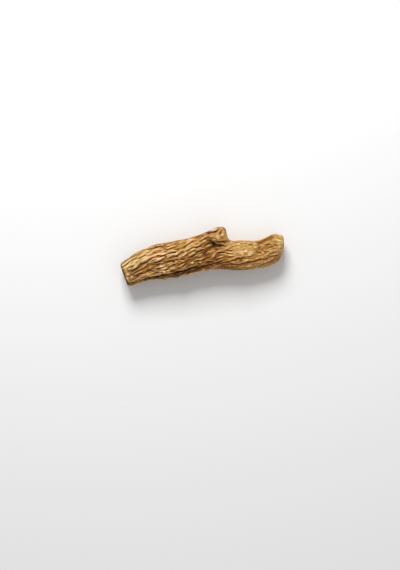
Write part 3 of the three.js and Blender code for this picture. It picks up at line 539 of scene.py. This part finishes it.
class Skin:
    """The bare skin as a grid of rows and steps: places, normals, and angle round the section."""

    def __init__(self, place, x, angle, radius):
        self.place = place
        self.x = x
        self.angle = angle
        self.radius = radius
        around = np.roll(place, -1, 1) - np.roll(place, 1, 1)
        self.around = unit(around)
        self.normal = unit(np.cross(around, np.gradient(place, axis=0)))
        upper = np.sin(angle) > 0
        self.upper = place[upper]
        self.upper_normal = self.normal[upper]

    def nearest_upper(self, x, y):
        return ((self.upper[:, 0] - x) ** 2 + (self.upper[:, 1] - y) ** 2).argmin()

    def spot_under(self, point, lift):
        """Where on the upper half of the skin a point seen from above lies, before it is lifted."""
        x, y = point
        lean = lift * self.upper_normal[self.nearest_upper(x, y)]
        return self.upper[self.nearest_upper(x - lean[0], y - lean[1])]

    def under(self, points, lift=0, shade=0):
        """A path seen from above, laid on the upper half of the skin, moved down by its shade."""
        path = run_through(points) - (0, shade)
        return np.array([self.spot_under(point, lift) for point in path])

    def round_at(self, points):
        """A path of (x, angle), laid on the skin."""
        spots = []
        for x, angle in run_through(points):
            away = (self.x - x) ** 2 + (self.radius * turn_between(self.angle, angle)) ** 2
            spots.append(self.place.reshape(-1, 3)[away.argmin()])
        return np.array(spots)

    def beside(self, path, places, reach=REACH):
        """The skin near a path: which part it is, and its distance, side and taper."""
        low, high = path.min(0) - reach, path.max(0) + reach
        part = ((self.place > low) & (self.place < high)).all(2)
        return part, *nearest_on(path, places[part], self.normal[part])


def nearest_on(path, place, normal):
    """Distance from each place to a path, the side it is on, and the path's taper there."""
    best = np.full(len(place), np.inf)
    side = np.ones(len(place))
    along = np.zeros(len(place))
    for i, (start, end) in enumerate(zip(path, path[1:])):
        run = end - start
        to = place - start
        t = clamp(to @ run / max(run @ run, TINY))
        away = np.linalg.norm(to - t[:, None] * run, axis=1)
        nearer = away < best
        best = np.where(nearer, away, best)
        side = np.where(nearer, np.where((np.cross(run, to) * normal).sum(1) > 0, 1, -1), side)
        along = np.where(nearer, (i + t) / (len(path) - 1), along)
    return best, side, (4 * along * (1 - along)) ** TAPER


def laid_creases(skin):
    """Every crease: depth, width, path on the skin."""
    for size, width, *points in CREASES:
        yield size, width, skin.under(points, 0, CREASE_SHADE * size)
    for size, width, points in flank_creases():
        yield size, width, skin.round_at(points)


def relief(skin, waved):
    """How far the ridges and bumps rise, how deep the creases are, and the line of painted shade in
    each.
    """
    raised, sunk, line = np.zeros((3, *skin.x.shape))
    for size, width, path in laid_creases(skin):
        part, distance, side, taper = skin.beside(path, waved)
        reach = np.where(side > 0, width * STEEP_SIDE, width) * CREASE_NARROW
        fall = np.exp(-(np.hypot(distance, CREASE_FLOOR) - CREASE_FLOOR) / reach)
        sunk[part] += (size * taper * fall) ** CREASE_MERGE
        lip = LIP * size * taper * bell((distance - LIP_PLACE) / LIP_WIDTH)
        raised[part] += np.where(side > 0, lip, 0)
        breadth = LINE_WIDTH * size**LINE_GROWTH * width / USUAL_WIDTH
        dark = size**LINE_DEPTH * taper * bell(distance / breadth)
        line[part] = np.maximum(line[part], dark)
    for size, width, *points in SWELLS:
        part, distance, _, taper = skin.beside(skin.under(points, size), waved)
        raised[part] += size * taper * bell(distance / width)
    for size, width, *spot in BUMPS:
        distance = np.linalg.norm(waved - skin.spot_under(spot, size), axis=2)
        raised += size * bell(distance / width)
    return raised, CREASE_DEPTH * sunk ** (1 / CREASE_MERGE), line


def cracks_under(skin, waved):
    """How deep the cracks are, straight down, and how much shadow is painted into them."""
    depth, dark = np.zeros((2, *skin.x.shape))
    for size, width, *points in CRACKS:
        part, distance, side, taper = skin.beside(skin.under(points), waved)
        depth[part] += size * taper * np.exp(-((distance / width) ** 4))
        over = smooth(*CRACK_OVER, distance) * bell(distance / CRACK_LIP_WIDTH)
        depth[part] -= CRACK_LIP * taper * np.where(side > 0, over, 0)
        dark[part] += taper * bell(distance / width / CRACK_LINE)
    return depth, dark


def washes(skin):
    """How much paler, redder and yellower the bark is, from one region to the next, painted shade
    and highlights included.
    """
    pale, red, yellow = np.zeros((3, *skin.x.shape))
    for paler, redder, yellower, width, *points in WASHES:
        part, distance, _, _ = skin.beside(skin.under(points), skin.place, WASH_REACH * width)
        share = bell(distance / width)
        pale[part] += paler * share
        red[part] += redder * share
        yellow[part] += yellower * share
    return pale, red, yellow


# The end faces' marks: noises as a seed and a size, places as shares of the way out.
CUT = {
    "wander": (5.5, 2.4), "pits": (33.1, 0.42), "grit": (71.9, 0.8),
    "ring": {"at": 0.7, "wander": 0.05, "width": 0.04},
    "rays": {"around": 7, "outward": 1.2, "seed": 61.2, "from": (0.15, 0.4)},
    "splits": {"spread": (0.5, 0.5, 1), "seed": 12.6, "width": 0.04, "wander": 0.2,
               "from": (0.08, 0.2), "to": (0.55, 0.72)},
    "core": 0.2, "cork": (0.75, 0.97),
}
BROKEN = {
    "wander": (15.4, 2.8), "pits": (93.8, 0.5), "grit": (3.3, 0.7), "chips": (44.7, 1.3),
    "ring": {"at": 0.76, "wander": 0.06, "width": 0.05},
    "rays": {"around": 6, "outward": 1.5, "seed": 27.3, "from": (0.1, 0.4)},
    "level_rim": (0.6, 1), "darker": 0.14,
}
PIT_EDGE = (0.32, 0.5)  # where the noise is above this, there is a pit
# How much each mark raises the face, and how much paler it makes it.
CUT_MARKS = {
    "rays": (0.16, 0.2), "ring": (-0.12, -0.24), "splits": (-0.5, -0.36), "pits": (-0.14, -0.3),
    "grit": (0.16, 0.16), "core": (-0.5, -0.14), "cork": (0, -0.5),
}
BROKEN_MARKS = {
    "lumps": (0.4, 0.1), "chips": (0.3, 0.2), "rays": (0.15, 0.12), "ring": (-0.1, -0.1),
    "pits": (-0.16, -0.2), "grit": (0.15, 0.12),
}


def end_marks(skin, share, end):
    """The marks that both ends have, where their rays are drawn from, and the slow noise."""
    ring, rays = end["ring"], end["rays"]
    wander = noise_at(skin.place, *end["wander"])
    across, up = rays["around"] * np.cos(skin.angle), rays["around"] * np.sin(skin.angle)
    spokes = np.stack([across, up, rays["outward"] * share], -1)
    marks = {
        "rays": noise_at(spokes, rays["seed"]) * smooth(*rays["from"], share),
        "ring": bell((share - ring["at"] + ring["wander"] * wander) / ring["width"]),
        "pits": smooth(*PIT_EDGE, noise_at(skin.place, *end["pits"])),
        "grit": noise_at(skin.place, *end["grit"]),
    }
    return marks, spokes, wander


def summed(marks, strengths):
    """The relief and the tone that the marks add up to."""
    return [sum(both[i] * marks[name] for name, both in strengths.items()) for i in (0, 1)]


def cut_face(skin, share):
    """The cut end's relief and tone: a ring, rays, splits and pits."""
    marks, spokes, wander = end_marks(skin, share, CUT)
    split = CUT["splits"]
    splits = np.abs(noise_at(spokes * split["spread"], split["seed"]))
    splits = np.exp(-splits / split["width"]) * smooth(*split["from"], share)
    marks["splits"] = splits * (1 - smooth(*split["to"], share + split["wander"] * wander))
    marks["core"] = bell(share / CUT["core"])
    marks["cork"] = smooth(*CUT["cork"], share)
    return summed(marks, CUT_MARKS)


def broken_face(skin, share):
    """The broken end's relief and tone: lumps, chips, rays, a ring and pits."""
    marks, _, marks["lumps"] = end_marks(skin, share, BROKEN)
    marks["chips"] = np.abs(noise_at(skin.place, *BROKEN["chips"]))
    height, tone = summed(marks, BROKEN_MARKS)
    return height * (1 - smooth(*BROKEN["level_rim"], share)), tone - BROKEN["darker"]


def stub_height(x, around):
    """How far the stub stands out, steep on its broken side and drawn out on the other."""
    along = x - STUB["x"]
    reach = np.where(along < 0, STUB["tailward"], STUB["endward"])
    steep = mix(*STUB_STEEP, smooth(*STUB_BLEND, along))
    away = np.hypot(along / reach, around / STUB["around"])
    return STUB["height"] / (1 + away ** steep) * (1 - smooth(*STUB_FOOT, away))


def hollow_depth(x, y):
    """How deep the hollow at the foot of the stub is under a point of the plan."""
    x, y = x - HOLLOW["x"], y - HOLLOW["y"]
    cos, sin = math.cos(HOLLOW["turn"]), math.sin(HOLLOW["turn"])
    along = (x * cos + y * sin) / HOLLOW["half_length"]
    across = (y * cos - x * sin) / HOLLOW["half_width"]
    return HOLLOW["depth"] * np.exp(-(along**2 + across**2))


def end_rows(end, rim, bulge, out, turn):
    """An end face's rows and its rim's: their stations, their shares, and how much is bark."""
    share = 1 - abs(rim) / section_at(end)["half_width"]
    rise = np.sin(turn)
    face = (end + bulge * (1 - out**2), share * out, 0 * out)
    return face, (end + rim * (1 - np.cos(turn)), mix(share, 1, rise), rise)


def row_places():
    """Each row of the skin: its station, its share of the full section, and how much is bark."""
    part = {name: np.arange(count) / count for name, count in ROWS.items()}
    quarter = math.pi / 2
    cut_face, cut_rim = end_rows(
        CUT_END, CUT_RIM, CUT_DISH, part["cut_face"], part["cut_rim"] * quarter
    )
    line = np.linspace(CUT_END + CUT_RIM, BROKEN_END - BROKEN_RIM, STATIONS)
    crowd = 1 + CROWD_STUB["more"] * bell((line - CROWD_STUB["x"]) / CROWD_STUB["half_width"])
    count = np.cumsum([0, *((crowd[1:] + crowd[:-1]) / 2)])
    whole = np.ones(ROWS["body"])
    body = (np.interp(part["body"], count / count[-1], line), whole, whole)
    broken_face, broken_rim = end_rows(
        BROKEN_END, -BROKEN_RIM, BROKEN_DOME,
        np.append(1 - part["broken_face"], 0), (1 - part["broken_rim"]) * quarter,
    )
    return [np.concatenate(v) for v in zip(cut_face, cut_rim, body, broken_rim, broken_face)]


def noise_at(places, seed, size=1, strength=1):
    """Smooth noise at each place, between about -1 and 1 times its strength."""
    flat = (places / size + seed).reshape(-1, 3)
    return strength * np.array([noise.noise(p) for p in flat.tolist()]).reshape(places.shape[:-1])


def grain_noise(x, grain, length, width, seed):
    """Noise drawn out along the grain of the skin, closed round the root."""
    ring = MEAN_RADIUS / width
    return noise_at(np.stack([x / length, np.cos(grain) * ring, np.sin(grain) * ring], -1), seed)


def mean_over(field, reach, mode):
    """The field's mean over a window of rows, padded by the mode at its ends."""
    tall = np.pad(field, ((reach, reach), (0, 0)), mode)
    total = np.cumsum(np.pad(tall, ((1, 0), (0, 0))), 0)
    return (total[2 * reach + 1:] - total[:-2 * reach - 1]) / (2 * reach + 1)


def blur(field, rows, steps):
    """The mean over a window of rows and steps, taken twice, and closed round the root."""
    for _ in range(2):
        field = mean_over(mean_over(field.T, steps, "wrap").T, rows, "edge")
    return field


def bare_skin():
    """The skin before its creases: oval sections, the stub and the hollow."""
    station, share, skin = row_places()
    step = np.arange(AROUND) / AROUND * TURN
    angle = np.tile(step + CROWD_TOP * np.cos(step), (len(station), 1))
    station, share, skin = (np.repeat(v[:, None], AROUND, 1) for v in (station, share, skin))

    section = section_at(station)
    lobe = 1 + SIDE_LOBE * np.cos(SIDE_LOBES * angle + SIDE_LOBE_TURN * station)
    across = np.cos(angle) * section["half_width"]
    up = np.sin(angle) * section["half_height"] * lobe
    x = station + section["slant"] * across * share + section["lean"] * up * share
    y = section["y"] + across * share
    z = section["z"] + up * share
    radius = np.hypot(np.sin(angle) * section["half_width"], np.cos(angle) * section["half_height"])

    stub = stub_height(x, radius * turn_between(angle, STUB["angle"]))
    out_x = x + STUB["lean"] * stub
    y = y + stub
    z = z + STUB["lift"] * stub
    z = np.where(z > section["z"], z - hollow_depth(out_x, y), z)
    on_stub = smooth(*STUB_BARK, stub)
    return Skin(np.stack([out_x, y, z], -1), x, angle, radius), share, skin, on_stub


def wrinkles_along(skin, grain):
    """The wrinkles' height, the shade painted into their furrows, and the paler and darker streaks.
    """
    wrinkle, painted_furrow_shade, streak = np.zeros((3, *skin.x.shape))
    for depth, length, width, seed, sharp, dark in WRINKLES:
        valley = np.exp(-np.abs(grain_noise(skin.x, grain, length, width, seed)) / sharp)
        wrinkle += depth * valley
        painted_furrow_shade += dark * valley
    for strength, length, width, seed in STREAKS:
        streak += strength * grain_noise(skin.x, grain, length, width, seed)
    return wrinkle, painted_furrow_shade, streak


def root_grid():
    """The finished skin as rows of points, with what its material reads at each point."""
    bare, share, skin, on_stub = bare_skin()
    wobble = noise_at(bare.place, *WOBBLE)
    waved = bare.place + wobble[..., None] * bare.around
    raised, sunk, line = relief(bare, waved)
    crack, painted_crack_shadow = cracks_under(bare, waved)

    bend = noise_at(bare.place, *BEND) + wobble
    lower_side = 1 - smooth(*GRAIN_LAG["across"], bare.place[..., 1])
    lag = GRAIN_LAG["most"] * smooth(*GRAIN_LAG["along"], bare.x) * lower_side
    grain = bare.angle + (grain_twist(bare.x) - lag + bend) / MEAN_RADIUS
    wrinkle, painted_furrow_shade, streak = wrinkles_along(bare, grain)
    lumps = noise_at(bare.place, *LUMPS)
    keep = skin * smooth(0, BELLY_FADE, bare.place[..., 2])
    busy = mix(*BUSY, smooth(*BUSY_FROM, bare.x))
    rough = (1 - on_stub) * busy
    fine = lumps * mix(busy, STUB_LUMPS, on_stub) - (wrinkle - WRINKLE_MEAN) * rough
    height = (raised - sunk + fine) * keep
    points = bare.place + bare.normal * height[..., None]
    points[..., 2] -= crack * keep

    face = 1 - skin
    at_cut = bare.x < (CUT_END + BROKEN_END) / 2
    out = np.where(at_cut, -1.0, 1.0)
    face_height, face_tone = np.where(at_cut, cut_face(bare, share), broken_face(bare, share))
    points[..., 0] += out * face * face_height
    points[..., 2] = np.maximum(points[..., 2], 0)

    # Painted shade and highlight: darker where the skin sinks below its surroundings, paler where
    # it stands out.
    cavity = height - blur(height, *CAVITY_WINDOW)
    pale, red, yellow = washes(bare)
    tone = USUAL_TONE + pale + PAINTED_CAVITY_SHADE * clamp(cavity, -CAVITY_MOST, CAVITY_MOST)
    # Painted shade in the crease lines, the crack and the wrinkles' furrows.
    tone -= (PAINTED_CREASE_SHADE * line + PAINTED_CRACK_SHADOW * painted_crack_shadow) * keep + (painted_furrow_shade - streak) * skin * rough
    # Painted shade along the rim of the cut end.
    painted_cut_rim_shade = smooth(*CUT_RIM_SHADE["rim"], face) * smooth(*CUT_RIM_SHADE["share"], share)
    tone += face * face_tone - at_cut * CUT_RIM_SHADE["darker"] * painted_cut_rim_shade
    turned = np.stack([bare.x / MEAN_RADIUS, np.cos(grain), np.sin(grain)], -1) * MEAN_RADIUS
    turned = mix(bare.place, turned, (smooth(0, 1, skin) * (1 - on_stub))[..., None])
    return points, {"tone": tone, "red": red, "yellow": yellow, "face": face, "grain": turned}


def into_frame(points):
    """The points in metres and in the frame, with what would stick out of its box pressed flat."""
    points = (points - MIDDLE) * MM
    low = np.array((cad_low[0], cad_low[1], -PRESS))  # the belly is flat at 0 already
    for limit, sign in ((np.array(cad_high), 1), (-low, -1)):
        over = sign * points - (limit - PRESS)
        over = np.where(over > 0, PRESS * (1 - np.exp(-np.maximum(over, 0) / PRESS)), over)
        points = sign * (over + limit - PRESS)
    return points


def put(name, data):
    """A new object in the scene."""
    made = bpy.data.objects.new(name, data)
    bpy.context.scene.collection.objects.link(made)
    return made


def put_mesh(name, shape):
    mesh = bpy.data.meshes.new(name)
    shape.to_mesh(mesh)
    shape.free()
    return put(name, mesh)


def build_root(points, fields):
    """A sheet of rows and steps wrapped round into the closed skin."""
    points = into_frame(points)
    rows = len(points) - 1

    shape = bmesh.new()
    bmesh.ops.create_grid(shape, x_segments=rows, y_segments=AROUND, size=1)
    kinds = {2: shape.verts.layers.float, 3: shape.verts.layers.float_vector}
    layers = [(kinds[field.ndim].new(name), field) for name, field in fields.items()]
    for vert in shape.verts:
        row = round((vert.co.x + 1) / 2 * rows)
        step = round((vert.co.y + 1) / 2 * AROUND) % AROUND
        vert.co = points[row, step]
        for layer, field in layers:
            vert[layer] = field[row, step]
    edge = [vert for vert in shape.verts if vert.is_boundary]
    bmesh.ops.remove_doubles(shape, verts=edge, dist=WELD)
    bmesh.ops.recalc_face_normals(shape, faces=shape.faces)
    for face in shape.faces:
        face.smooth = True
    return put_mesh("costus_root_skin", shape)


class Wire:
    """A shader socket: an expression on wires adds the Math nodes that work it out."""

    def __init__(self, shader, socket):
        self.shader = shader
        self.socket = socket

    def math(self, operation, a, b):
        return self.shader.node("ShaderNodeMath", {"operation": operation}, [a, b])

    def __add__(self, other):
        return self.math("ADD", self, other)

    __radd__ = __add__

    def __sub__(self, other):
        return self.math("SUBTRACT", self, other)

    def __rsub__(self, other):
        return self.math("SUBTRACT", other, self)

    def __mul__(self, other):
        return self.math("MULTIPLY", self, other)

    __rmul__ = __mul__

    def clamped(self):
        """Kept between 0 and 1."""
        return self.shader.node("ShaderNodeClamp", {}, [self])


class Shader:
    """A material and the nodes in it."""

    def __init__(self, name):
        self.material = bpy.data.materials.new(name)
        self.material.use_nodes = True
        self.tree = self.material.node_tree
        self.tree.nodes.clear()

    def node(self, kind, settings, inputs, output=0):
        """A node of a kind, its settings first, then its sockets as a list or by name."""
        made = self.tree.nodes.new(kind)
        for name, value in settings.items():
            if name == "stops":
                self.set_stops(made.color_ramp, value)
            else:
                setattr(made, name, value)
        pairs = inputs.items() if isinstance(inputs, dict) else enumerate(inputs)
        for key, value in pairs:
            if isinstance(value, Wire):
                self.tree.links.new(value.socket, made.inputs[key])
            else:
                made.inputs[key].default_value = value
        return Wire(self, made.outputs[output]) if made.outputs else made

    def set_stops(self, ramp, stops):
        while len(ramp.elements) < len(stops):
            ramp.elements.new(1.0)
        for element, (place, *colour) in zip(ramp.elements, stops):
            element.position = place
            element.color = srgb(*colour)

    def attribute(self, name, output="Fac"):
        return self.node("ShaderNodeAttribute", {"attribute_name": name}, [], output)

    def noise(self, place, scale, stretch, shift):
        """Noise about 0, moved and stretched along the axes."""
        mapping = {"Vector": place, "Location": shift, "Scale": stretch}
        moved = self.node("ShaderNodeMapping", {}, mapping)
        inputs = {"Vector": moved, "Scale": scale, "Detail": NOISE_DETAIL}
        return self.node("ShaderNodeTexNoise", {}, inputs) - NOISE_MEAN

    def blend(self, factor, a, b, how="MIX"):
        settings = {"data_type": "RGBA", "blend_type": how}
        return self.node("ShaderNodeMix", settings, {"Factor": factor, 6: a, 7: b}, output=2)

    def finished(self, finish):
        """The material, with these values and wires in its surface's sockets."""
        surface = self.node("ShaderNodeBsdfPrincipled", {}, finish)
        self.node("ShaderNodeOutputMaterial", {}, [surface])
        return self.material


def srgb(*colour):
    """A colour as a screen shows it, 0 to 255, in linear light."""
    shares = [v / 255 for v in colour]
    light = [v / 12.92 if v <= 0.04045 else ((v + 0.055) / 1.055) ** 2.4 for v in shares]
    return *light, 1.0


# The bark's colours, from the bottom of a crease to the top of a rib: place, red, green, blue.
TAN_TONES = (
    (0, 62, 35, 9), (0.2, 98, 62, 25), (0.38, 135, 95, 50),
    (0.52, 170, 131, 79), (0.7, 208, 174, 126), (0.88, 240, 215, 178),
)
RED_TONES = (
    (0, 70, 32, 9), (0.2, 106, 57, 23), (0.38, 143, 88, 47),
    (0.52, 178, 122, 75), (0.7, 212, 163, 116), (0.88, 244, 204, 166),
)
WOOD_TONES = (
    (0, 50, 28, 12), (0.25, 114, 76, 38), (0.45, 172, 129, 75),
    (0.65, 212, 173, 114), (0.9, 240, 210, 157),
)
YELLOW_STAIN = (1, 1, 0.6, 1)  # what the yellow stain lets through
COOL_STAIN = (0.86, 0.9, 1.12, 1)

# The bark's noises, in the millimetres of its grain: scale, stretch and shift.
NOISE_DETAIL = 3
NOISE_MEAN = 0.5
MOTTLE = (0.4, (0.4, 1, 1), (0, 0, 0))
FIBRE = (2.6, (0.1, 1, 1), (7, 0, 0))
SPECK = (1.6, (0.5, 1, 1), (0, 4, 0))
STAIN = (0.7, (0.5, 1, 1), (0, 0, 9))
MOTTLE_TONE = 0.2
FIBRE_TONE = 0.4  # and of the specks
USUAL_RED = 0.4
MOTTLE_RED = 1.2
USUAL_YELLOW = 0.5
STAIN_YELLOW = 2.4
COOL_BELOW = -0.5  # where the wash is less yellow than this, the bark is greyer
BARE_WOOD = (0.55, 0.95)  # how bare the end is where the wood's colour starts, and is full
FIBRE_NAP = 0.6
SPECK_NAP = 0.5
NAP = {"Strength": 0.6, "Distance": 0.0002}
BARK_FINISH = {"Roughness": 0.88, "Specular IOR Level": 0.15}


def bark():
    """The bark: brown in its creases with painted shade, pale on its ribs, mottled and fibrous; the
    wood is paler.
    """
    s = Shader("bark")
    grain = s.attribute("grain", "Vector")
    mottle, fibre, speck, stain = (s.noise(grain, *kind) for kind in (MOTTLE, FIBRE, SPECK, STAIN))
    tone = (s.attribute("tone") + mottle * MOTTLE_TONE + (fibre + speck) * FIBRE_TONE).clamped()
    tan_bark, red_bark, wood = (
        s.node("ShaderNodeValToRGB", {"stops": tones}, [tone])
        for tones in (TAN_TONES, RED_TONES, WOOD_TONES)
    )
    yellow = s.attribute("yellow")
    redness = (s.attribute("red") + mottle * MOTTLE_RED + USUAL_RED).clamped()
    yellowness = (yellow + stain * STAIN_YELLOW + USUAL_YELLOW).clamped()
    coolness = (COOL_BELOW - yellow).clamped()
    colour = s.blend(redness, tan_bark, red_bark)
    colour = s.blend(yellowness, colour, YELLOW_STAIN, "MULTIPLY")
    colour = s.blend(coolness, colour, COOL_STAIN, "MULTIPLY")
    bareness = [s.attribute("face"), *BARE_WOOD]
    bareness = s.node("ShaderNodeMapRange", {"interpolation_type": "SMOOTHSTEP"}, bareness)
    colour = s.blend(bareness, colour, wood)
    nap = fibre * FIBRE_NAP + speck * SPECK_NAP
    bump = s.node("ShaderNodeBump", {}, {"Height": nap, **NAP})
    return s.finished({"Base Color": colour, "Normal": bump, **BARK_FINISH})


# The camera looks straight down, on the frame of the photograph.
IMAGE_WIDTH, IMAGE_HEIGHT = 400, 570
ROOT_PIXEL = (202, 259)  # where the root's (0, 0) lies in the image
PIXEL = 0.5 * MM
ROOT_TILT = math.radians(8.5)  # the root rises to the right by this much
LENS = 85
SENSOR = 36
LOOK_HEIGHT = 8 * MM  # the plane that the image scale holds for

# Lights: place in metres to the right, up the image and above the floor, size, power.
LIGHTS = {"key": (-0.12, 0.52, 0.46, 0.3, 4.9), "fill": (0.3, -0.5, 0.7, 0.8, 0.9)}
WORLD_STRENGTH = 0.4
FLOOR_SIZE = 6
FLOOR_FINISH = {"Base Color": srgb(240, 240, 240), "Roughness": 0.9}


def add_camera():
    """The camera, and the directions in the world that are right and up in its image."""
    camera = bpy.data.cameras.new("camera")
    camera.lens = LENS
    camera.sensor_width = SENSOR
    eye = put("camera", camera)
    bpy.context.scene.camera = eye
    right = Vector((math.cos(ROOT_TILT), -math.sin(ROOT_TILT), 0))
    up = Vector((math.sin(ROOT_TILT), math.cos(ROOT_TILT), 0))
    across = IMAGE_WIDTH / 2 - ROOT_PIXEL[0]
    down = IMAGE_HEIGHT / 2 - ROOT_PIXEL[1]
    to_centre = (right * across - up * down) * PIXEL
    distance = IMAGE_HEIGHT * PIXEL * LENS / SENSOR
    eye.location = to_centre - Vector(MIDDLE) * MM + Vector((0, 0, LOOK_HEIGHT + distance))
    eye.rotation_euler = (0, 0, -ROOT_TILT)
    return right, up


def add_lights(right, up):
    for name, (across, along, height, size, power) in LIGHTS.items():
        lamp = bpy.data.lights.new(name, "AREA")
        lamp.size = size
        lamp.energy = power
        holder = put(name, lamp)
        place = right * across + up * along + Vector((0, 0, height))
        holder.location = place
        holder.rotation_euler = (-place).to_track_quat("-Z", "Y").to_euler()

    world = bpy.data.worlds.new("studio")
    world.use_nodes = True
    background = world.node_tree.nodes["Background"]
    background.inputs["Color"].default_value = (1, 1, 1, 1)
    background.inputs["Strength"].default_value = WORLD_STRENGTH
    bpy.context.scene.world = world


def add_floor():
    shape = bmesh.new()
    bmesh.ops.create_grid(shape, x_segments=1, y_segments=1, size=FLOOR_SIZE / 2)
    floor = put_mesh("floor", shape)
    floor.data.materials.append(Shader("floor").finished(FLOOR_FINISH))


root = build_root(*root_grid())
root.data.materials.append(bark())
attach(root, "root")
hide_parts("costus_root")

add_lights(*add_camera())
add_floor()
bpy.context.scene.view_settings.view_transform = "Standard"
